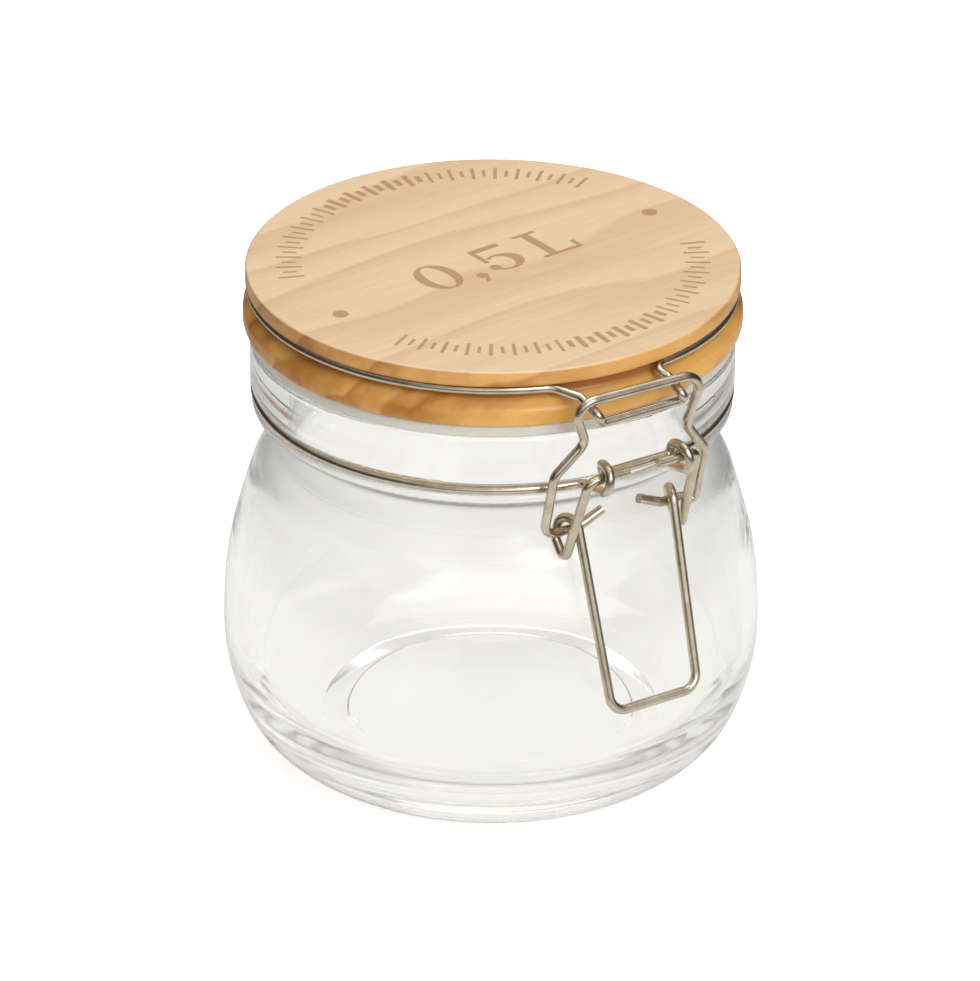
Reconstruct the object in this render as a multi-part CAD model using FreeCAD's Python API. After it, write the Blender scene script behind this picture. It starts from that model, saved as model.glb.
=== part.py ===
import FreeCAD, Part
import math
import os

# Clip-top storage jar, empty and shut: a round-bellied clear glass jar, a turned
# wooden lid with a soft seal ring, and a clasp and hinge of bent steel wire.
# Millimetres. Z is up, the jar's axis is the Z axis and the base stands on z = 0.
# The clasp is at the front (-Y) and the lid's hinge at the back (+Y).

os.makedirs("parts", exist_ok=True)
Vec = FreeCAD.Vector

# ---- glass ----
rim_z = 87.6             # height of the glass
collar_r = 47.2          # outside radius of the thick collar under the rim
collar_h = 10.5
collar_round = 1.4       # outer edge of the rim
rim_round = 1.0          # inner edge of the rim
groove_depth = 1.95      # wire groove under the collar
groove_round = 0.9       # lower edge of the collar
bead_inset = 0.3         # bead under the groove, against the collar
bead_h = 2.1
bead_round = 0.8
neck_inset = 5.0         # narrow neck, against the collar
neck_h = 1.6             # straight part of the neck, under its cove
neck_wall = 2.4
belly_r = 52.75          # widest outside radius
belly_z = 25.4           # height of the widest place
belly_wall = 2.7
shoulder_power = 2.22    # how full the shoulder is
heel_power = 1.87        # how full the heel is, along and across
heel_round = 2.18
heel_inset = 15.85       # widest place to the edge that stands on the table
foot_w = 3.0             # width of the ring that the jar stands on
foot_slope_w = 5.5       # foot ring to the raised panel under the base
panel_z = 1.5
panel_step = 0.4
dome_z = 2.4
floor_z = 6.6            # inside floor
floor_inset = 23.75      # widest place to the edge of the inside floor
floor_rise = 0.5
inner_power = 2.2
inner_round = 2.4

# ---- lid and seal ring ----
gasket_h = 2.7
gasket_over = 0.3        # how far each piece stands out over the collar
flange_over = 1.3
disc_over = 0.8
seal_gap = 0.05          # ring to the rim, and ring to the lid
gasket_round = 0.6
gasket_play = 0.2        # ring to the plug
flange_side = 3.3        # underside of the flange to its upper corner
flange_round = 1.7
flange_edge = 0.7
slope_h = 2.6            # conical top of the flange, up to the wire groove
lid_groove_h = 2.4       # straight back wall of that groove
disc_h = 3.15
disc_round = 0.45
disc_edge = 0.25
plug_play = 0.8          # plug to the bore of the mouth
plug_h = 3.3
plug_edge = 0.6

# ---- wires ----
ring_d = 1.8
lid_wire_d = 1.8
lever_d = 1.9
link_d = 1.9
wire_play = 0.1          # a wire to the floor and the walls of its groove
lid_wire_out = 0.1       # the lid's wire, inside the edge of the disc
bend = 2.0               # usual bend, on a wire's centre line
small_bend = 1.3
hook_bend = 1.1
ring_arcs = 4            # arcs that make up each half of a ring
ring_lead = 1.9          # straight end of a ring before its corner

# ---- hinge at the back ----
hinge_drop = 0.1         # hinge axis under the rim
coil_x = 8.6             # outer turn of a coil
coil_side = 3.0          # coil to the end of the hinge bar
bridge_flare = 1.9       # end of the bar to where the neck wire leaves its groove
bridge_out = 2.7         # foot of the bridge, outside the collar
bridge_rise = 0.6
butt_gap = 0.3           # between the ends of the neck wire, in the bar
arm_gap = 0.8            # arm of the lid wire to the flange
arm_drop = 0.65
coil_play = 0.08         # coil to the bar
coil_gap = 0.15          # turn to turn
coil_tail = 0.4

# ---- lever ----
pivot_out = 6.45         # pivot from the neck wire, outwards and up
pivot_up = 4.05
eye_x = 8.8
eye_r = 2.35             # centre line of an eye of the neck wire
eye_lean = 0.6           # how far an eye spreads along its axis, each way
stub_x = 3.4             # cut ends of the lever, between the eyes
eye_arm = 3.5            # eye to the top of an arm
arm_spread = 1.0         # how far the arms spread down to the loops
leg_inset = 1.4          # handle's leg, inside the top of the arm
pin_out = 2.9            # pin from the neck, outwards
pin_drop = 13.4          # pin under the pivot
loop_r = 2.3             # centre line of the lever's loops over the pins
loop_drop = 6.0          # point of a loop, under the pin
loop_point_out = 1.1
pin_play = 0.42          # handle's leg to the pin that it passes
handle_in = 1.1          # corner of the handle, inside the top of its leg
handle_gap = 4.4         # handle's bar to the belly
handle_down = 47.8       # handle's bar under the pivot
handle_bend = 3.2

# ---- catch link and the tongue of the lid wire ----
catch_over = 4.2         # catch bar from the flange, outwards
catch_play = 0.2
leg_down = 2.85          # tongue's legs under the lid wire, at the catch bar
leg_slope = 0.48
catch_left_side = 6.6    # corners of the catch bar, outside the tongue's bar
catch_right_side = 4.8
catch_tilt = 0.75        # left corner over the right one
left_bend = 3.2
right_bend = 4.6
waist_in = 0.7           # waist, inside the lever's arms
flare_out = 4.2          # flare, outside the lever's loops
left_waist = 9.7         # waist and flare of each leg, under the catch bar
left_flare = 16.0
right_waist = 12.1
right_flare = 19.6
link_bend = 3.0
hook_out = 1.3           # the right pin starts with a hook under it, outside the loop
hook_drop = 4.2
pin_end_in = 2.7         # straight part of a pin, inside the lever's arm
pin_tip_in = 5.4         # turned-up tip, inside the straight part
pin_tip_up = 2.3
tongue_left = 9.6        # corners of the tongue's bar
tongue_right = 9.3
tongue_down = 5.65
bar_in = 0.1             # the tongue's bar, inwards from the catch bar
leg_in = 3.4             # inner and outer corners of its legs, from the catch bar
leg_out = 1.5
leg_lean = 1.4           # outer corners, to the left of the ends of the bar
left_root = 2.6          # inner corners, the same way
right_root = 1.9
leave_left_side = 8.4    # where the lid wire leaves its groove, outside the tongue
leave_right_in = 2.7     # and on the right inside it

# ---- worked out ----
groove_h = ring_d + 3 * wire_play
collar_z = rim_z - collar_h
bead_z = collar_z - groove_h
groove_r = collar_r - groove_depth
bead_r = collar_r - bead_inset
neck_r = collar_r - neck_inset
mouth_r = neck_r - neck_wall
cove_r = bead_r - bead_round - neck_r
neck_z = bead_z - bead_h - cove_r - neck_h
heel_r = belly_r - heel_inset
floor_r = belly_r - floor_inset
ring_r = groove_r + wire_play + ring_d / 2
ring_z = bead_z + groove_h / 2

lid_z = rim_z + gasket_h
gasket_r = collar_r + gasket_over
flange_r = collar_r + flange_over
disc_r = collar_r + disc_over
plug_r = mouth_r - plug_play
lid_wire_r = disc_r - lid_wire_out - lid_wire_d / 2
lid_groove_r = lid_wire_r - lid_wire_d / 2 - 2 * wire_play
disc_z = lid_z + flange_side + slope_h + lid_groove_h
lid_wire_z = disc_z - wire_play - lid_wire_d / 2
top_z = disc_z + disc_h

coil_r = ring_d / 2 + coil_play + lid_wire_d / 2
coil_pitch = lid_wire_d + coil_gap
hinge_half = coil_x + coil_side
bridge_half = hinge_half + bridge_flare
arm_y = flange_r + arm_gap
hinge_y = arm_y + coil_r
hinge_z = rim_z - hinge_drop

arm_x = eye_x + eye_arm
loop_x = arm_x + arm_spread
handle_x = arm_x - leg_inset - handle_in
waist_x = arm_x - waist_in
flare_x = loop_x + flare_out
hook_x = loop_x + hook_out
pin_end_x = arm_x - pin_end_in
pin_tip_x = pin_end_x - pin_tip_in
catch_left = tongue_left + catch_left_side
catch_right = tongue_right + catch_right_side
leave_left = tongue_left + leave_left_side
leave_right = tongue_right - leave_right_in

pivot_y = -(ring_r + pivot_out)
pivot_z = ring_z + pivot_up
pin_y = -(neck_r + pin_out)
pin_z = pivot_z - pin_drop
catch_y = -(flange_r + catch_over)
leg_z = lid_wire_z - leg_down
catch_z = leg_z + (link_d / 2 + lid_wire_d / 2 + catch_play) * math.hypot(1, leg_slope)


def bend_reaches(points, radii):
    """How far each bend reaches along its straights. Bends that would meet are tightened."""
    turns = [
        (here - before).getAngle(after - here)
        for before, here, after in zip(points, points[1:], points[2:])
    ]
    reaches = [radius * math.tan(turn / 2) for radius, turn in zip(radii[1:], turns)]
    reaches = [0, *reaches, 0]
    fits = [1.0] * len(points)
    for i in range(len(points) - 1):
        wanted = reaches[i] + reaches[i + 1]
        room = (points[i + 1] - points[i]).Length
        if wanted > room + 1e-6:
            fits[i] = min(fits[i], room / wanted)
            fits[i + 1] = min(fits[i + 1], room / wanted)
    return [reach * fit for reach, fit in zip(reaches, fits)]


def bent_path(corners):
    """Edges through corners (x, y, z, radius): straight runs, and an arc where a radius is given."""
    points = [Vec(*corner[:3]) for corner in corners]
    radii = [corner[3] if len(corner) > 3 else 0 for corner in corners]
    reaches = bend_reaches(points, radii)
    edges = []
    last = points[0]
    for before, here, after, reach in zip(points, points[1:], points[2:], reaches[1:]):
        come = (here - before).normalize()
        go = (after - here).normalize()
        start = here - come * reach
        if (start - last).Length > 0.001:
            edges.append(Part.LineSegment(last, start).toShape())
            last = start
        if reach:
            radius = reach / math.tan(come.getAngle(go) / 2)
            inward = (go - come).normalize()
            centre = here + inward * math.hypot(radius, reach)
            end = here + go * reach
            edges.append(Part.Arc(last, centre - inward * radius, end).toShape())
            last = end
    edges.append(Part.LineSegment(last, points[-1]).toShape())
    return edges


def section(*corners):
    """bent_path in the plane of a turned outline, from corners (radius, height, rounding)."""
    return bent_path([(c[0], 0, *c[1:]) for c in corners])


def turned(edges):
    """A solid of revolution about Z."""
    outline = Part.Wire(Part.__sortEdges__(edges))
    solid = Part.Face(outline).revolve(Vec(0, 0, 0), Vec(0, 0, 1), 360)
    return Part.Solid(solid.Shells[0]) if solid.ShapeType != "Solid" else solid


def bent_wire(corners, diameter):
    """A round wire along corners. Its volume has to be its section times its length."""
    path = Part.Wire(bent_path(corners))
    along = Vec(*corners[1][:3]) - Vec(*corners[0][:3])
    ring = Part.Circle(Vec(*corners[0][:3]), along, diameter / 2).toShape()
    wire = path.makePipeShell([Part.Wire([ring])], True, False)
    wanted = math.pi * diameter**2 / 4 * path.Length
    print(f"wire {diameter} x {path.Length:.1f} mm, volume {wire.Volume:.2f} of {wanted:.2f}")
    return wire


def ring_place(radius, angle, lead=0.0):
    """A point on a ring, angle from the front towards +X, moved on along its tangent by lead."""
    x = radius * math.sin(angle) + lead * math.cos(angle)
    y = -radius * math.cos(angle) + lead * math.sin(angle)
    return x, y


def ring_corners(radius, z, start, end):
    """Corners round a ring from one angle to another, each rounded to the ring's own radius."""
    half = (end - start) / ring_arcs / 2
    places = [start + half * (2 * i + 1) for i in range(ring_arcs)]
    return [(*ring_place(radius / math.cos(half), a), z, radius) for a in places]


def mirrored(corners):
    """The corners on the other side of the clasp, in the opposite order."""
    return [(-corner[0], *corner[1:]) for corner in reversed(corners)]


def body_radius(z, top, middle, foot, powers):
    """Radius of a belly at height z. top, middle and foot are (radius, height)."""
    shoulder, heel, rounding = powers
    if z > middle[1]:
        rise = (z - middle[1]) / (top[1] - middle[1])
        return top[0] + (middle[0] - top[0]) * (1 - rise**shoulder)
    fall = (middle[1] - z) / (middle[1] - foot[1])
    return foot[0] + (middle[0] - foot[0]) * (1 - fall**heel) ** (1 / rounding)


def body_curve(top, middle, foot, powers):
    """The belly's outline: two smooth curves that meet upright at the widest place."""
    high = [middle[1] + (top[1] - middle[1]) * part for part in (0.86, 0.65, 0.43, 0.2)]
    low = [middle[1] - (middle[1] - foot[1]) * part for part in (0.3, 0.6, 0.82, 0.95)]
    down = Vec(0, 0, -1)
    curves = []
    for ends, heights, last_way in (
        ((top, middle), high, down),
        ((middle, foot), low, Vec(-1, 0, 0)),
    ):
        points = [Vec(ends[0][0], 0, ends[0][1])]
        points += [Vec(body_radius(z, top, middle, foot, powers), 0, z) for z in heights]
        points += [Vec(ends[1][0], 0, ends[1][1])]
        curve = Part.BSplineCurve()
        curve.interpolate(Points=points, InitialTangent=down, FinalTangent=last_way)
        curves.append(curve.toShape())
    return curves


def glass_jar():
    """Collar, wire groove, bead, neck, belly and thick base, with one wall all round."""
    foot_r = heel_r - foot_w
    panel_r = foot_r - foot_slope_w
    outer = section(
        (mouth_r, neck_z),
        (mouth_r, rim_z, rim_round),
        (collar_r, rim_z, collar_round),
        (collar_r, collar_z, groove_round),
        (groove_r, collar_z),
        (groove_r, bead_z),
        (bead_r, bead_z, bead_round),
        (bead_r, bead_z - bead_h, bead_round),
        (neck_r, bead_z - bead_h, cove_r),
        (neck_r, neck_z),
    )
    outer += body_curve(
        (neck_r, neck_z),
        (belly_r, belly_z),
        (heel_r, 0),
        (shoulder_power, heel_power, heel_round),
    )
    under = section(
        (heel_r, 0),
        (foot_r, 0, foot_w / 4),
        (panel_r, panel_z),
        (panel_r - panel_step, panel_z + panel_step),
        (0, dome_z),
        (0, floor_z + floor_rise),
        (floor_r, floor_z),
    )
    inner = body_curve(
        (mouth_r, neck_z),
        (belly_r - belly_wall, belly_z),
        (floor_r, floor_z),
        (shoulder_power, inner_power, inner_round),
    )
    return turned(outer + under + inner)


def wooden_lid():
    """Turned in one piece: plug, flange with a sloping top, wire groove and top disc."""
    side_z = lid_z + flange_side
    edges = section(
        (0, lid_z - plug_h),
        (plug_r, lid_z - plug_h, plug_edge),
        (plug_r, lid_z),
        (flange_r, lid_z, flange_edge),
        (flange_r, side_z, flange_round),
        (lid_groove_r, side_z + slope_h, lid_wire_d / 2),
        (lid_groove_r, disc_z),
        (disc_r, disc_z, disc_edge),
        (disc_r, top_z, disc_round),
        (0, top_z),
    )
    edges += section((0, top_z), (0, lid_z - plug_h))
    return turned(edges)


def lid_gasket():
    """Soft ring round the plug, between the rim and the flange."""
    low = rim_z + seal_gap
    high = lid_z - seal_gap
    bore = plug_r + gasket_play
    return turned(
        section(
            (bore, (low + high) / 2),
            (bore, low),
            (gasket_r, low, gasket_round),
            (gasket_r, high, gasket_round),
            (bore, high),
            (bore, (low + high) / 2),
        )
    )


def neck_wire():
    """Ring in the glass groove: two eyes in front for the lever, a raised hinge bar behind."""
    front = math.asin((eye_x + 3 * eye_lean) / ring_r)
    back = math.pi - math.asin(bridge_half / ring_r)
    near = pivot_y + eye_r
    far = pivot_y - eye_r
    half = [
        (eye_x - 2 * eye_lean, near, pivot_z - eye_r / 8, eye_r / 2),
        (eye_x - eye_lean, near, pivot_z + eye_r, eye_r * 0.6),
        (eye_x, far, pivot_z + eye_r, eye_r),
        (eye_x + eye_lean, far, pivot_z - eye_r, eye_r),
        (*ring_place(ring_r, front, -ring_lead), ring_z, bend),
        *ring_corners(ring_r, ring_z, front, back),
        (*ring_place(ring_r, back, ring_lead), ring_z, bend),
        (hinge_half + eye_lean, collar_r + bridge_out, ring_z + bridge_rise, bend),
        (hinge_half, hinge_y, hinge_z, bend),
        (butt_gap / 2, hinge_y, hinge_z),
    ]
    return bent_wire(mirrored(half) + half, ring_d)


def hinge_coil(side):
    """From the free end of one coil round the hinge bar, up its arm, to the lid's groove."""
    near = hinge_y - coil_r
    far = hinge_y + coil_r
    xs = [side * (coil_x - coil_pitch * turn) for turn in (1, 2 / 3, 1 / 3, 0)]
    return [
        (xs[0], near, hinge_z - coil_tail),
        (xs[0], near, hinge_z + coil_r, coil_r),
        (xs[1], far, hinge_z + coil_r, coil_r),
        (xs[2], far, hinge_z - coil_r, coil_r),
        (xs[3], near, hinge_z - coil_r, coil_r),
        (xs[3], near, lid_wire_z - arm_drop, small_bend),
    ]


def leg_height(x, y):
    """Height of the tongue's legs, which slope down outwards under the catch bar."""
    return leg_z + leg_slope * (y - catch_y) - catch_tilt * x / (catch_left + catch_right)


def lid_wire():
    """Ring in the lid's groove: a coil on the hinge bar at each end, a tongue in front."""
    back = math.pi - math.asin((coil_x + ring_lead) / lid_wire_r)
    left = math.asin(leave_left / lid_wire_r)
    right = math.asin(leave_right / lid_wire_r)
    ring = [
        (*ring_place(lid_wire_r, right, -ring_lead), lid_wire_z, bend),
        *ring_corners(lid_wire_r, lid_wire_z, right, back),
        (*ring_place(lid_wire_r, back, ring_lead), lid_wire_z, small_bend),
    ]
    other = [
        (*ring_place(lid_wire_r, left, -1.5 * ring_lead), lid_wire_z, 2 * bend),
        *ring_corners(lid_wire_r, lid_wire_z, left, back),
        (*ring_place(lid_wire_r, back, ring_lead), lid_wire_z, small_bend),
    ]
    inner_y = catch_y + leg_in
    outer_y = catch_y - leg_out
    bar_y = catch_y + bar_in
    bar_z = lid_wire_z - tongue_down
    legs = [
        (-tongue_left - left_root, inner_y, bend),
        (-tongue_left - leg_lean, outer_y, hook_bend),
        (tongue_right - leg_lean, outer_y, hook_bend),
        (tongue_right - right_root, inner_y, small_bend),
    ]
    legs = [(x, y, leg_height(x, y), radius) for x, y, radius in legs]
    bar = [(-tongue_left, bar_y, bar_z, hook_bend), (tongue_right, bar_y, bar_z, hook_bend)]
    tongue = legs[:2] + bar + legs[2:]
    return bent_wire(
        hinge_coil(-1) + mirrored(other) + tongue + ring + hinge_coil(1)[::-1], lid_wire_d
    )


def lever_wire():
    """One wire: cut ends in the eyes, an arm and a loop on each side, and the handle."""
    near = pin_y + loop_r
    handle_y = -(belly_r + handle_gap + lever_d / 2)
    handle_z = pivot_z - handle_down
    beside_pin = pin_y - (link_d + lever_d) / 2 - pin_play
    far = beside_pin - (handle_y - beside_pin) * loop_r / (pin_z - handle_z)
    half = [
        (stub_x, pivot_y, pivot_z),
        (arm_x, pivot_y, pivot_z, bend),
        (loop_x, pin_y - loop_point_out, pin_z - loop_drop, small_bend),
        (loop_x, near, pin_z - loop_r, loop_r),
        (arm_x, near, pin_z + loop_r, loop_r),
        (arm_x - leg_inset, far, pin_z + loop_r, loop_r),
        (handle_x, handle_y, handle_z, handle_bend),
    ]
    return bent_wire(half + mirrored(half), lever_d)


def catch_link():
    """Hooks over the lid wire's tongue. Its two pins point inwards, through the loops."""

    def leg(x, down, radius):
        y = catch_y + (pin_y - catch_y) * down / (catch_z - pin_z)
        return x, y, catch_z - down, radius

    pin_down = catch_z - pin_z
    corners = [
        (-pin_tip_x, pin_y, pin_z + pin_tip_up),
        (-pin_end_x, pin_y, pin_z, small_bend),
        (-flare_x, pin_y, pin_z, link_bend),
        leg(-flare_x, left_flare, link_bend),
        leg(-waist_x, left_waist, link_bend),
        leg(-catch_left, -catch_tilt / 2, left_bend),
        leg(catch_right, catch_tilt / 2, right_bend),
        leg(waist_x, right_waist, link_bend),
        leg(flare_x, right_flare, link_bend),
        leg(flare_x, pin_down + hook_drop, small_bend),
        (hook_x, pin_y, pin_z, small_bend),
        (pin_end_x, pin_y, pin_z, small_bend),
        (pin_tip_x, pin_y, pin_z + pin_tip_up),
    ]
    return bent_wire(corners, link_d)


nodes = {
    "glass_jar": glass_jar,
    "neck_wire": neck_wire,
    "wooden_lid": wooden_lid,
    "lid_gasket": lid_gasket,
    "lid_wire": lid_wire,
    "lever_wire": lever_wire,
    "catch_link": catch_link,
}

for name, make in nodes.items():
    shape = make()
    print(f"{name}: valid {shape.isValid()}, {shape.Volume / 1000:.2f} cm3, {shape.BoundBox}")
    shape.exportStep(f"parts/{name}.step")
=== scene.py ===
import math

import bpy
from mathutils import Matrix, Vector

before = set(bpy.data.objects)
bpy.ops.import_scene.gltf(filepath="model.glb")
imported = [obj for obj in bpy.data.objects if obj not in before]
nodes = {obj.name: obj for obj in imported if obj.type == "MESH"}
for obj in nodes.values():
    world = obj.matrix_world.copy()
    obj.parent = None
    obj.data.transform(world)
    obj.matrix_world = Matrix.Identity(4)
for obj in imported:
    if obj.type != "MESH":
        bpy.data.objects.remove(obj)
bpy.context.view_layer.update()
print("frame loaded:", ", ".join(sorted(nodes)))


def newMaterial(name):
    material = bpy.data.materials.new(name)
    material.use_nodes = True
    tree = material.node_tree
    tree.nodes.clear()
    shader = tree.nodes.new("ShaderNodeBsdfPrincipled")
    output = tree.nodes.new("ShaderNodeOutputMaterial")
    tree.links.new(shader.outputs["BSDF"], output.inputs["Surface"])
    return material, tree, shader


def newGroup(name, inputs, outputs):
    tree = bpy.data.node_groups.new(name, "ShaderNodeTree")
    for label, kind, value in inputs:
        socket = tree.interface.new_socket(name=label, in_out="INPUT", socket_type="NodeSocket" + kind)
        socket.default_value = value
    for label, kind in outputs:
        tree.interface.new_socket(name=label, in_out="OUTPUT", socket_type="NodeSocket" + kind)
    return tree, tree.nodes.new("NodeGroupInput").outputs, tree.nodes.new("NodeGroupOutput").inputs


def useGroup(tree, group, **values):
    node = tree.nodes.new("ShaderNodeGroup")
    node.node_tree = group
    for label, value in values.items():
        feed(tree, node.inputs[label.replace("_", " ")], value)
    return node.outputs


def feed(tree, socket, value):
    if isinstance(value, bpy.types.NodeSocket):
        tree.links.new(value, socket)
    else:
        socket.default_value = value


def calc(tree, kind, *values, clamp=False):
    node = tree.nodes.new("ShaderNodeMath")
    node.operation = kind
    node.use_clamp = clamp
    for socket, value in zip(node.inputs, values):
        feed(tree, socket, value)
    return node.outputs[0]


def below(tree, value, limit, soft):
    # 1 where value is under limit, 0 over it, with an edge soft units wide
    short = calc(tree, "SUBTRACT", limit, value)
    return calc(tree, "MULTIPLY_ADD", short, 1 / soft, 0.5, clamp=True)


def apart(tree, value, middle):
    return calc(tree, "ABSOLUTE", calc(tree, "SUBTRACT", value, middle))


def distance(tree, x, y):
    return calc(tree, "SQRT", calc(tree, "ADD", calc(tree, "POWER", x, 2.0), calc(tree, "POWER", y, 2.0)))


def axes(tree, vector):
    split = tree.nodes.new("ShaderNodeSeparateXYZ")
    tree.links.new(vector, split.inputs[0])
    return split.outputs[0], split.outputs[1], split.outputs[2]


def scaled(tree, vector, factors):
    node = tree.nodes.new("ShaderNodeVectorMath")
    node.operation = "MULTIPLY"
    feed(tree, node.inputs[0], vector)
    node.inputs[1].default_value = factors
    return node.outputs[0]


def noise(tree, vector, factors, detail=3.0, roughness=0.55):
    node = tree.nodes.new("ShaderNodeTexNoise")
    feed(tree, node.inputs["Vector"], scaled(tree, vector, factors))
    node.inputs["Scale"].default_value = 1.0
    node.inputs["Detail"].default_value = detail
    node.inputs["Roughness"].default_value = roughness
    return node.outputs["Fac"]


def blendColour(tree, amount, first, second, kind="MIX"):
    node = tree.nodes.new("ShaderNodeMix")
    node.data_type = "RGBA"
    node.blend_type = kind
    feed(tree, node.inputs["Factor"], amount)
    feed(tree, node.inputs["A"], first)
    feed(tree, node.inputs["B"], second)
    return node.outputs["Result"]


def remap(tree, value, low, high, toLow=0.0, toHigh=1.0):
    node = tree.nodes.new("ShaderNodeMapRange")
    for label, number in (("From Min", low), ("From Max", high), ("To Min", toLow), ("To Max", toHigh)):
        node.inputs[label].default_value = number
    feed(tree, node.inputs["Value"], value)
    return node.outputs["Result"]


def bumped(tree, shader, height, strength, distance):
    node = tree.nodes.new("ShaderNodeBump")
    node.inputs["Strength"].default_value = strength
    node.inputs["Distance"].default_value = distance
    tree.links.new(height, node.inputs["Height"])
    tree.links.new(node.outputs["Normal"], shader.inputs["Normal"])


def millimetres(tree):
    # the piece's own coordinates in millimetres: the whole vector, then x, y and z
    place = tree.nodes.new("ShaderNodeTexCoord").outputs["Object"]
    vector = scaled(tree, place, (1000, 1000, 1000))
    return vector, *axes(tree, vector)


def colour(red, green, blue):
    # an sRGB colour, 0 to 255, as the shader's linear one
    parts = [value / 255 for value in (red, green, blue)]
    return [part / 12.92 if part < 0.04045 else ((part + 0.055) / 1.055) ** 2.4 for part in parts] + [1.0]


def dress(names, material):
    for name in names:
        for slot in nodes[name].material_slots:
            slot.material = material


woodLook = {
    "topLight": colour(231, 203, 166),
    "topDark": colour(214, 176, 134),
    "edgeLight": colour(226, 172, 92),
    "edgeDark": colour(168, 102, 30),
    # painted shade: the colour the edge darkens to in the groove, where the disc above and the wire shade
    # it
    "paintedGrooveShade": colour(136, 74, 14),
    "pore": colour(190, 150, 108),
    "burnt": colour(178, 136, 92),
    "grainTurn": 5.0,        # degrees, grain and marks against the hinge axis
    "ringWidth": 11.0,       # mm, growth ring to growth ring
    "pith": (-62.0, 40.0),   # mm, heart of the tree, across the grain and up
    "endGrainReach": 48.0,   # mm, from the middle to where the end grain is darkest
    "topHeights": (101.35, 101.72),     # mm, over which the edge's colour gives way to the top's
    "upperHeights": (98.7, 99.1),       # mm, over which the disc's edge begins
    "grooveHeight": 97.2,    # mm, middle of the groove
    "topRoughness": 0.5,
    "edgeRoughness": 0.28,
}

markLook = {
    "centre": (0.8, 1.1),    # mm, along and across the grain
    "soft": 0.16,            # mm, over which a mark fades out
    "heights": (101.6, 101.7),          # mm, only the flat top is marked
    "dots": ((-37.9, -1.4), (37.7, -1.4)),
    "dotRadius": 1.55,
    "figures": (-13.2, -6.0, 1.2, 13.0),    # mm, places of the four characters
    "ringRadius": 39.6,
    "ringHalfTurn": 64.8,    # degrees of strokes to each side of the grain's direction
    "strokePitch": 3.2,      # degrees, stroke to stroke
    "strokeHalfLength": 1.4,
    "longStrokeExtra": 1.1,  # mm, every second stroke is longer
    "strokeHalfWidth": 0.34,
    "heavyExtra": 0.22,      # mm, the strokes near the dots are heavier
    "heavyHalfTurn": 17.5,
}


def woodPlace():
    # position in the grain's own directions: along, across, up, in millimetres
    tree, given, wanted = newGroup("woodPlace", [("Turn", "Float", 5.0)], [("Place", "Vector")])
    vector, _, _, _ = millimetres(tree)
    turn = tree.nodes.new("ShaderNodeVectorRotate")
    turn.rotation_type = "Z_AXIS"
    tree.links.new(vector, turn.inputs["Vector"])
    angle = calc(tree, "MULTIPLY", given["Turn"], -math.pi / 180)
    tree.links.new(angle, turn.inputs["Angle"])
    tree.links.new(turn.outputs[0], wanted["Place"])
    return tree


def growthRings():
    # 0 in the light early wood, 1 in the dark late wood, plus fine streaks and pores
    tree, given, wanted = newGroup(
        "growthRings",
        [("Place", "Vector", (0, 0, 0)), ("Ring Width", "Float", 9.0)],
        [("Ring", "Float"), ("Streak", "Float"), ("Pore", "Float")],
    )
    place = given["Place"]
    _, side, up = axes(tree, place)
    across = calc(tree, "ADD", side, -woodLook["pith"][0])
    depth = calc(tree, "ADD", up, -woodLook["pith"][1])
    far = distance(tree, across, depth)
    wander = calc(tree, "MULTIPLY", noise(tree, place, (0.011, 0.05, 0.05), 2.0), 26.0)
    count = calc(tree, "DIVIDE", calc(tree, "ADD", far, wander), given["Ring Width"])
    saw = calc(tree, "FRACT", count)
    rise = calc(tree, "POWER", saw, 2.2)
    fall = remap(tree, saw, 0.9, 1.0, 1.0, 0.0)
    tree.links.new(calc(tree, "MULTIPLY", rise, fall), wanted["Ring"])
    tree.links.new(noise(tree, place, (0.035, 0.9, 0.9), 4.0, 0.6), wanted["Streak"])
    pore = remap(tree, noise(tree, place, (0.28, 3.2, 3.2), 2.0), 0.63, 0.78)
    tree.links.new(pore, wanted["Pore"])
    return tree


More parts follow.
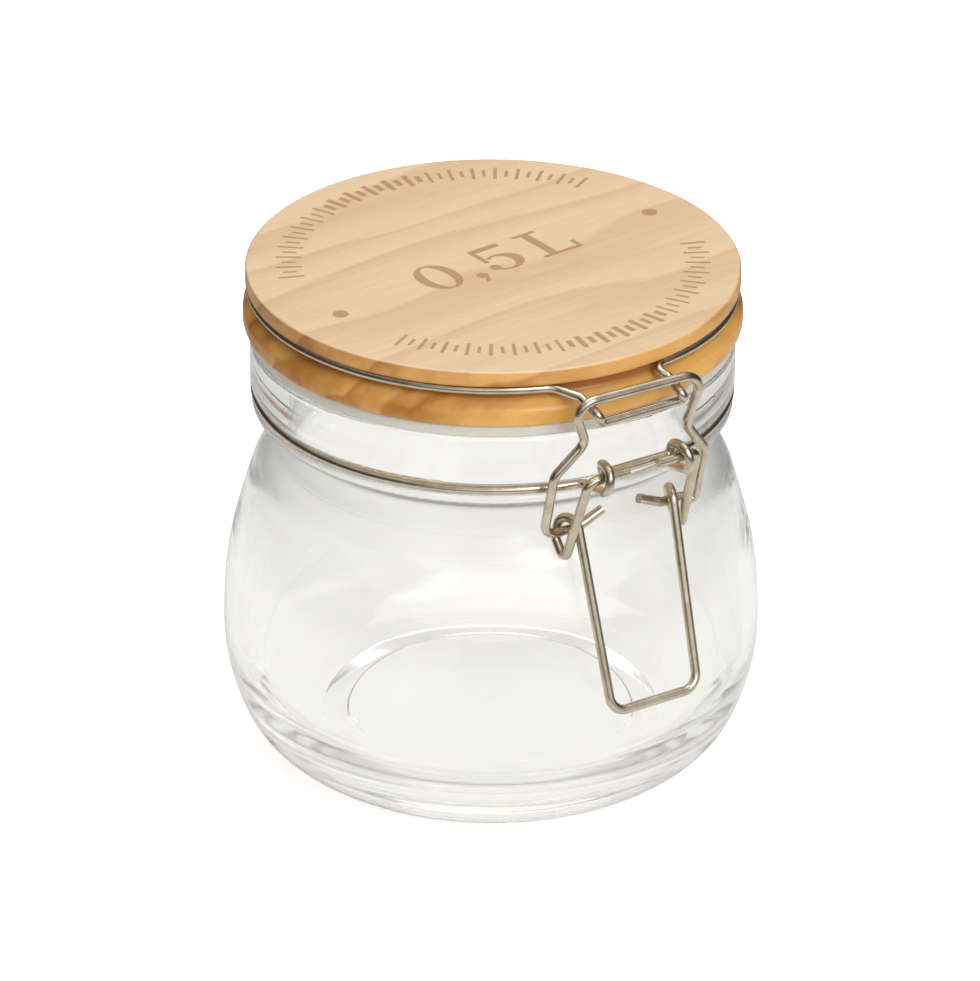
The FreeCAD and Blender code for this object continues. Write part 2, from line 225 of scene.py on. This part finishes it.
def burntMarks():
    # 1 where the top is marked: two dots, a ring of plain strokes and the capacity in figures
    tree, given, wanted = newGroup("burntMarks", [("Place", "Vector", (0, 0, 0))], [("Mark", "Float")])
    lengthways, crossways, up = axes(tree, given["Place"])
    along = calc(tree, "SUBTRACT", lengthways, markLook["centre"][0])
    across = calc(tree, "SUBTRACT", crossways, markLook["centre"][1])
    soft = markLook["soft"]

    def bar(x, y, halfX, halfY, slant=0.0):
        shifted = calc(tree, "MULTIPLY_ADD", calc(tree, "SUBTRACT", across, y), -slant, along)
        side = below(tree, apart(tree, shifted, x), halfX, soft)
        return calc(tree, "MINIMUM", side, below(tree, apart(tree, across, y), halfY, soft))

    def oval(x, y, halfX, halfY):
        offX = calc(tree, "DIVIDE", calc(tree, "SUBTRACT", along, x), halfX)
        offY = calc(tree, "DIVIDE", calc(tree, "SUBTRACT", across, y), halfY)
        return below(tree, distance(tree, offX, offY), 1.0, soft / min(halfX, halfY))

    def without(shape, hole):
        return calc(tree, "SUBTRACT", shape, hole, clamp=True)

    def nought(x):
        return without(oval(x, 0.2, 4.3, 5.6), oval(x, 0.2, 2.2, 4.9))

    def comma(x):
        return calc(tree, "MAXIMUM", oval(x, -4.3, 1.15, 1.15), bar(x + 0.3, -5.6, 0.45, 1.5, 0.55))

    def five(x):
        bowl = without(oval(x + 0.2, -1.9, 4.1, 3.5), oval(x - 0.3, -1.9, 2.3, 2.8))
        cut = bar(x - 4.2, -0.9, 2.3, 1.6)
        return [
            without(bowl, cut),
            bar(x - 2.9, 2.5, 0.55, 3.1),
            bar(x + 0.3, 4.9, 3.3, 0.75),
            oval(x - 2.9, -3.0, 1.1, 1.1),
        ]

    def capital(x):
        return [
            bar(x - 1.6, 0.2, 0.95, 5.3),
            bar(x - 1.6, 5.3, 2.7, 0.42),
            bar(x + 0.4, -5.0, 4.7, 0.5),
            bar(x + 4.6, -3.7, 0.5, 1.6),
        ]

    noughtX, commaX, fiveX, capitalX = markLook["figures"]
    shapes = [nought(noughtX), comma(commaX), *five(fiveX), *capital(capitalX)]
    shapes += [oval(x, y, markLook["dotRadius"], markLook["dotRadius"]) for x, y in markLook["dots"]]
    radius = distance(tree, along, across)
    angle = calc(tree, "DEGREES", calc(tree, "ARCTAN2", along, calc(tree, "ABSOLUTE", across)))
    pitch = markLook["strokePitch"]
    turn = calc(tree, "ABSOLUTE", calc(tree, "WRAP", angle, pitch / 2, -pitch / 2))
    width = calc(tree, "MULTIPLY", turn, calc(tree, "MULTIPLY", radius, math.pi / 180))
    longer = below(tree, calc(tree, "ABSOLUTE", calc(tree, "WRAP", angle, pitch, -pitch)), 1.0, 0.2)
    reach = calc(tree, "MULTIPLY_ADD", longer, markLook["longStrokeExtra"], markLook["strokeHalfLength"])
    heavy = below(tree, calc(tree, "ABSOLUTE", angle), markLook["heavyHalfTurn"], 0.5)
    heavy = calc(tree, "MULTIPLY_ADD", heavy, markLook["heavyExtra"], markLook["strokeHalfWidth"])
    stroke = below(tree, width, heavy, soft)
    inside = below(tree, apart(tree, radius, markLook["ringRadius"]), reach, soft)
    arc = below(tree, calc(tree, "ABSOLUTE", angle), markLook["ringHalfTurn"], 0.2)
    shapes.append(calc(tree, "MULTIPLY", calc(tree, "MULTIPLY", stroke, inside), arc))
    whole = shapes[0]
    for shape in shapes[1:]:
        whole = calc(tree, "MAXIMUM", whole, shape)
    flat = remap(tree, up, *markLook["heights"])
    tree.links.new(calc(tree, "MULTIPLY", whole, flat), wanted["Mark"])
    return tree


def paintLid():
    material, tree, shader = newMaterial("lidWood")
    place = useGroup(tree, woodPlace(), Turn=woodLook["grainTurn"])["Place"]
    rings = useGroup(tree, growthRings(), Place=place, Ring_Width=woodLook["ringWidth"])
    mark = useGroup(tree, burntMarks(), Place=place)["Mark"]
    along, _, up = axes(tree, place)
    top = remap(tree, up, *woodLook["topHeights"])
    ringTone = calc(tree, "MULTIPLY_ADD", rings["Ring"], 0.75, -0.35)
    tone = calc(tree, "MULTIPLY_ADD", rings["Streak"], 0.9, ringTone, clamp=True)
    topColour = blendColour(tree, tone, woodLook["topLight"], woodLook["topDark"])
    pores = calc(tree, "MULTIPLY", rings["Pore"], 0.35)
    topColour = blendColour(tree, pores, topColour, woodLook["pore"])
    endGrain = calc(tree, "ABSOLUTE", calc(tree, "DIVIDE", along, woodLook["endGrainReach"]))
    endGrain = calc(tree, "POWER", endGrain, 2.0)
    ringTone = calc(tree, "MULTIPLY_ADD", rings["Ring"], 0.7, -0.1)
    edgeTone = calc(tree, "MULTIPLY_ADD", endGrain, 0.45, ringTone)
    edgeTone = calc(tree, "SUBTRACT", edgeTone, 0.1)
    edgeTone = calc(tree, "MULTIPLY_ADD", rings["Streak"], 0.35, edgeTone, clamp=True)
    patch = remap(tree, noise(tree, place, (0.045, 0.12, 0.12), 2.0), 0.42, 0.62, -0.12, 0.22)
    edgeTone = calc(tree, "ADD", edgeTone, patch, clamp=True)
    edgeColour = blendColour(tree, edgeTone, woodLook["edgeLight"], woodLook["edgeDark"])
    upper = remap(tree, up, *woodLook["upperHeights"], 0.0, 0.1)
    edgeColour = blendColour(tree, upper, edgeColour, woodLook["topDark"])
    # painted shade: the edge darkens towards the middle of the groove, where the disc above and the wire
    # shade it
    groove = remap(tree, apart(tree, up, woodLook["grooveHeight"]), 0.9, 2.0, 0.8, 0.0)
    edgeColour = blendColour(tree, groove, edgeColour, woodLook["paintedGrooveShade"])
    whole = blendColour(tree, top, edgeColour, topColour)
    whole = blendColour(tree, calc(tree, "MULTIPLY", mark, 0.85), whole, woodLook["burnt"])
    tree.links.new(whole, shader.inputs["Base Color"])
    rough = remap(tree, top, 0.0, 1.0, woodLook["edgeRoughness"], woodLook["topRoughness"])
    tree.links.new(calc(tree, "MULTIPLY_ADD", rings["Streak"], 0.1, rough), shader.inputs["Roughness"])
    height = calc(tree, "MULTIPLY_ADD", mark, -0.8, calc(tree, "MULTIPLY", rings["Streak"], 0.3))
    height = calc(tree, "MULTIPLY_ADD", rings["Pore"], -0.35, height)
    bumped(tree, shader, height, 0.5, 0.00012)
    dress(["wooden_lid"], material)


paintLid()
print("lid dressed")


wireLook = {
    "light": colour(222, 211, 191),
    "dark": colour(190, 177, 153),
    "roughness": 0.25,
}


def paintWires():
    material, tree, shader = newMaterial("wireSteel")
    vector, _, _, _ = millimetres(tree)
    cloud = noise(tree, vector, (0.35, 0.35, 0.35), 3.0)
    scratch = noise(tree, vector, (5.0, 5.0, 5.0), 3.0, 0.7)
    tone = remap(tree, calc(tree, "MULTIPLY_ADD", scratch, 0.5, cloud), 0.5, 1.0)
    steel = blendColour(tree, tone, wireLook["light"], wireLook["dark"])
    tree.links.new(steel, shader.inputs["Base Color"])
    shader.inputs["Metallic"].default_value = 1.0
    rough = calc(tree, "MULTIPLY_ADD", scratch, 0.14, wireLook["roughness"] - 0.07)
    tree.links.new(rough, shader.inputs["Roughness"])
    bumped(tree, shader, scratch, 0.35, 0.00003)
    dress(["neck_wire", "lid_wire", "lever_wire", "catch_link"], material)


paintWires()
print("wires dressed")


sealLook = {
    "colour": colour(212, 206, 196),
    "shade": 0.86,           # how much darker its cloudy spots are
    "roughness": 0.5,
    "scatter": 0.25,
    # painted light: the ring gives off light in its own colour to rays that pass through the glass,
    # standing in for light falling in through the glass
    "throughGlass": 0.55,    # a glow that shows only through the glass, where the ring would look black
}


def paintSeal():
    material, tree, shader = newMaterial("softSeal")
    vector, _, _, _ = millimetres(tree)
    grain = noise(tree, vector, (1.6, 1.6, 1.6), 4.0)
    tone = calc(tree, "MULTIPLY", remap(tree, grain, 0.35, 0.7), 0.5)
    darker = [part * sealLook["shade"] for part in sealLook["colour"][:3]] + [1.0]
    tree.links.new(blendColour(tree, tone, sealLook["colour"], darker), shader.inputs["Base Color"])
    shader.inputs["Roughness"].default_value = sealLook["roughness"]
    shader.inputs["Subsurface Weight"].default_value = sealLook["scatter"]
    shader.inputs["Subsurface Radius"].default_value = (1.0, 0.9, 0.8)
    shader.inputs["Subsurface Scale"].default_value = 0.002
    bumped(tree, shader, grain, 0.2, 0.00005)
    # painted light: the ring glows for rays that pass through the glass, in place of the light that would
    # fall on its underside through the glass
    path = tree.nodes.new("ShaderNodeLightPath")
    shader.inputs["Emission Color"].default_value = sealLook["colour"]
    glow = calc(tree, "MULTIPLY", path.outputs["Is Transmission Ray"], sealLook["throughGlass"])
    tree.links.new(glow, shader.inputs["Emission Strength"])
    dress(["lid_gasket"], material)


paintSeal()
print("seal ring dressed")


glassLook = {
    "colour": (0.988, 0.988, 0.974, 1.0),
    "ior": 1.5,
    "seamAngle": -56.0,      # degrees from the clasp round to the mould seam
    "shoulderSeam": 64.5,    # mm, height of the ring seam
    "seamStart": 66.0,       # mm, the upright seam shows above this height
    "outerSkin": 42.6,       # mm, the inside of the collar is nearer to the axis than this
    "footTop": 5.2,          # mm, the foot's fine marks end here
    "footRadius": 38.5,
    "seamDepth": 0.06,
    "footDepth": 0.012,
    "waveDepth": 0.1,
    "coveHeight": 67.0,      # mm, middle of the neck's cove, where rough glass blurs what it shows
    "coveReach": 8.5,
    "coveRoughness": 0.3,
    "heelHeight": 8.0,
    "heelRoughness": 0.1,
}


def glassRelief():
    # height of what the mould leaves on the outside: seams, foot marks and a soft wave
    tree, given, wanted = newGroup(
        "glassRelief",
        [("Seam Angle", "Float", 0.0), ("Seam Height", "Float", 60.0)],
        [("Height", "Float")],
    )
    vector, x, y, z = millimetres(tree)
    radius = distance(tree, x, y)
    angle = calc(tree, "DEGREES", calc(tree, "ARCTAN2", x, calc(tree, "MULTIPLY", y, -1.0)))
    outside = calc(tree, "GREATER_THAN", radius, glassLook["outerSkin"])
    ring = below(tree, apart(tree, z, given["Seam Height"]), 0.12, 0.2)
    fromSeam = calc(tree, "SUBTRACT", angle, given["Seam Angle"])
    upright = below(tree, calc(tree, "ABSOLUTE", calc(tree, "WRAP", fromSeam, 90.0, -90.0)), 0.12, 0.2)
    upright = calc(tree, "MULTIPLY", upright, calc(tree, "GREATER_THAN", z, glassLook["seamStart"]))
    seams = calc(tree, "MULTIPLY", calc(tree, "MAXIMUM", ring, upright), outside)
    low = below(tree, z, glassLook["footTop"], 0.3)
    low = calc(tree, "MULTIPLY", low, calc(tree, "GREATER_THAN", z, 0.4))
    tick = below(tree, calc(tree, "ABSOLUTE", calc(tree, "WRAP", angle, 0.75, -0.75)), 0.3, 0.2)
    foot = calc(tree, "MULTIPLY", tick, low)
    foot = calc(tree, "MULTIPLY", foot, calc(tree, "GREATER_THAN", radius, glassLook["footRadius"]))
    wave = noise(tree, vector, (0.03, 0.03, 0.045), 1.0)
    seams = calc(tree, "MULTIPLY", seams, glassLook["seamDepth"])
    fine = calc(tree, "MULTIPLY_ADD", foot, glassLook["footDepth"], seams)
    tree.links.new(calc(tree, "MULTIPLY_ADD", wave, glassLook["waveDepth"], fine), wanted["Height"])
    return tree


def paintGlass():
    material, tree, shader = newMaterial("clearGlass")
    shader.inputs["Base Color"].default_value = glassLook["colour"]
    shader.inputs["Metallic"].default_value = 0.0
    _, _, _, z = millimetres(tree)
    cove = below(tree, apart(tree, z, glassLook["coveHeight"]), glassLook["coveReach"], 4.0)
    cove = calc(tree, "MULTIPLY", cove, glassLook["coveRoughness"])
    heel = below(tree, z, glassLook["heelHeight"], 5.0)
    heel = calc(tree, "MULTIPLY", heel, glassLook["heelRoughness"])
    soft = calc(tree, "MAXIMUM", cove, heel)
    tree.links.new(soft, shader.inputs["Roughness"])
    shader.inputs["IOR"].default_value = glassLook["ior"]
    shader.inputs["Transmission Weight"].default_value = 1.0
    relief = useGroup(
        tree, glassRelief(), Seam_Angle=glassLook["seamAngle"], Seam_Height=glassLook["shoulderSeam"]
    )
    bumped(tree, shader, relief["Height"], 0.6, 0.001)
    dress(["glass_jar"], material)


paintGlass()
print("glass dressed")


studio = {
    "floorColour": (0.84, 0.84, 0.835, 1.0),
    "floorSize": 6.0,            # m, from the middle to the edge
    "floorRoughness": 0.9,
    "floorGlow": 0.62,           # what the camera sees the paper give off, so that it stays white
    "glowColour": (1.0, 0.99, 0.965, 1.0),
    "throughGlass": 0.94,        # brightness of the floor behind the glass
    "roomThroughGlass": 0.86,    # and of the room
    "roomDim": 0.06,             # the room at eye level behind and beside the jar, as the wires see it
    "roomFront": 1.1,            # and in front of it
    "tableReach": 0.24,          # m, how much of the pale table the wires see
    "roomTop": 0.7,              # the room overhead
    "keyPower": 6.6,
    "fillPower": 1.5,
    "topPower": 4.6,
    "innerPower": 0.07,
    "glassBounces": 32,
}

view = {
    "azimuth": -33.0,        # degrees
    "elevation": 27.144,
    "roll": 0.377,
    "reach": 1.6,            # m, from the camera to what it looks at
    "aim": (0, 0, 0.05224),
    "sensorWidth": 36.0,
    "lens": 299.7,
    "shift": -0.00177,
}


middle = (0, 0, 0.05)    # m, where the lamps point


def buildFloor():
    mesh = bpy.data.meshes.new("floor")
    far = studio["floorSize"]
    low = -0.0004    # just under the jar, so that the two faces don't flicker
    corners = [(-far, -far, low), (far, -far, low), (far, far, low), (-far, far, low)]
    mesh.from_pydata(corners, [], [(0, 1, 2, 3)])
    floor = bpy.data.objects.new("floor", mesh)
    bpy.context.collection.objects.link(floor)
    material, tree, shader = newMaterial("floorPaper")
    shader.inputs["Base Color"].default_value = studio["floorColour"]
    shader.inputs["Roughness"].default_value = studio["floorRoughness"]
    path = tree.nodes.new("ShaderNodeLightPath")
    white = tree.nodes.new("ShaderNodeEmission")
    strength = calc(tree, "MULTIPLY", path.outputs["Is Camera Ray"], studio["floorGlow"])
    tree.links.new(strength, white.inputs["Strength"])
    paper = tree.nodes.new("ShaderNodeAddShader")
    tree.links.new(shader.outputs[0], paper.inputs[0])
    tree.links.new(white.outputs[0], paper.inputs[1])
    glow = tree.nodes.new("ShaderNodeEmission")
    glow.inputs["Color"].default_value = studio["glowColour"]
    glow.inputs["Strength"].default_value = studio["throughGlass"]
    mix = tree.nodes.new("ShaderNodeMixShader")
    tree.links.new(path.outputs["Is Transmission Ray"], mix.inputs[0])
    tree.links.new(paper.outputs[0], mix.inputs[1])
    tree.links.new(glow.outputs[0], mix.inputs[2])
    dim = tree.nodes.new("ShaderNodeEmission")
    dim.inputs["Strength"].default_value = studio["roomDim"]
    _, x, y, _ = millimetres(tree)
    away = distance(tree, x, y)
    reach = studio["tableReach"] * 1000
    beyond = remap(tree, away, reach * 0.6, reach * 1.4)
    beyond = calc(tree, "MULTIPLY", beyond, path.outputs["Is Glossy Ray"])
    whole = tree.nodes.new("ShaderNodeMixShader")
    tree.links.new(beyond, whole.inputs[0])
    tree.links.new(mix.outputs[0], whole.inputs[1])
    tree.links.new(dim.outputs[0], whole.inputs[2])
    tree.links.new(whole.outputs[0], tree.nodes["Material Output"].inputs["Surface"])
    mesh.materials.append(material)


def softbox(name, place, aim, size, power, mirrored=True):
    data = bpy.data.lights.new(name, "AREA")
    data.shape = "RECTANGLE"
    data.size = size[0]
    data.size_y = size[1]
    data.energy = power
    box = bpy.data.objects.new(name, data)
    box.location = place
    box.rotation_euler = (Vector(aim) - Vector(place)).to_track_quat("-Z", "Y").to_euler()
    box.visible_glossy = mirrored
    bpy.context.collection.objects.link(box)


def lampInside():
    # stands for the light that falls in through the glass
    data = bpy.data.lights.new("innerLight", "POINT")
    data.energy = studio["innerPower"]
    data.shadow_soft_size = 0.015
    lamp = bpy.data.objects.new("innerLight", data)
    lamp.location = middle
    lamp.visible_camera = False
    lamp.visible_glossy = False
    lamp.visible_transmission = False
    bpy.context.collection.objects.link(lamp)


def setBounces():
    # enough for light to pass every wall of the glass
    cycles = bpy.context.scene.cycles
    cycles.max_bounces = studio["glassBounces"]
    cycles.glossy_bounces = studio["glassBounces"]
    cycles.transmission_bounces = studio["glassBounces"]


def buildWorld():
    world = bpy.data.worlds.new("studioWorld")
    world.use_nodes = True
    tree = world.node_tree
    background = tree.nodes["Background"]
    background.inputs["Color"].default_value = (1, 1, 1, 1)
    x, y, z = axes(tree, tree.nodes.new("ShaderNodeTexCoord").outputs["Generated"])
    room = remap(tree, z, 0.45, 0.85, studio["roomDim"], studio["roomTop"])
    facing = calc(tree, "MULTIPLY_ADD", x, -0.2, calc(tree, "MULTIPLY", y, -0.98))
    room = calc(tree, "MAXIMUM", room, remap(tree, facing, 0.4, 0.9, 0.0, studio["roomFront"]))
    path = tree.nodes.new("ShaderNodeLightPath")
    through = calc(tree, "MULTIPLY", path.outputs["Is Transmission Ray"], studio["roomThroughGlass"])
    strength = calc(tree, "MAXIMUM", calc(tree, "MAXIMUM", room, through), path.outputs["Is Camera Ray"])
    tree.links.new(strength, background.inputs["Strength"])
    bpy.context.scene.world = world


def aimCamera():
    # a long lens from a little above, slightly rolled
    azimuth, elevation = math.radians(view["azimuth"]), math.radians(view["elevation"])
    away = Vector((
        math.sin(azimuth) * math.cos(elevation),
        -math.cos(azimuth) * math.cos(elevation),
        math.sin(elevation),
    ))
    data = bpy.data.cameras.new("camera")
    data.sensor_fit = "HORIZONTAL"
    data.sensor_width = view["sensorWidth"]
    data.lens = view["lens"]
    data.shift_x = view["shift"]
    data.clip_end = 50.0
    camera = bpy.data.objects.new("camera", data)
    turned = away.to_track_quat("Z", "Y").to_matrix().to_4x4()
    roll = Matrix.Rotation(math.radians(view["roll"]), 4, "Z")
    camera.matrix_world = Matrix.Translation(Vector(view["aim"]) + away * view["reach"]) @ turned @ roll
    bpy.context.collection.objects.link(camera)
    bpy.context.scene.camera = camera


buildFloor()
softbox("keyLight", (-0.02, -1.1, 0.8), middle, (0.6, 0.6), studio["keyPower"])
softbox("fillLight", (-0.95, -0.55, 0.6), middle, (0.4, 0.7), studio["fillPower"], mirrored=False)
softbox("topLight", (0.1, 0.25, 1.1), middle, (0.9, 0.9), studio["topPower"])
lampInside()
setBounces()
buildWorld()
aimCamera()
bpy.context.scene.view_settings.view_transform = "Standard"
print("studio ready")
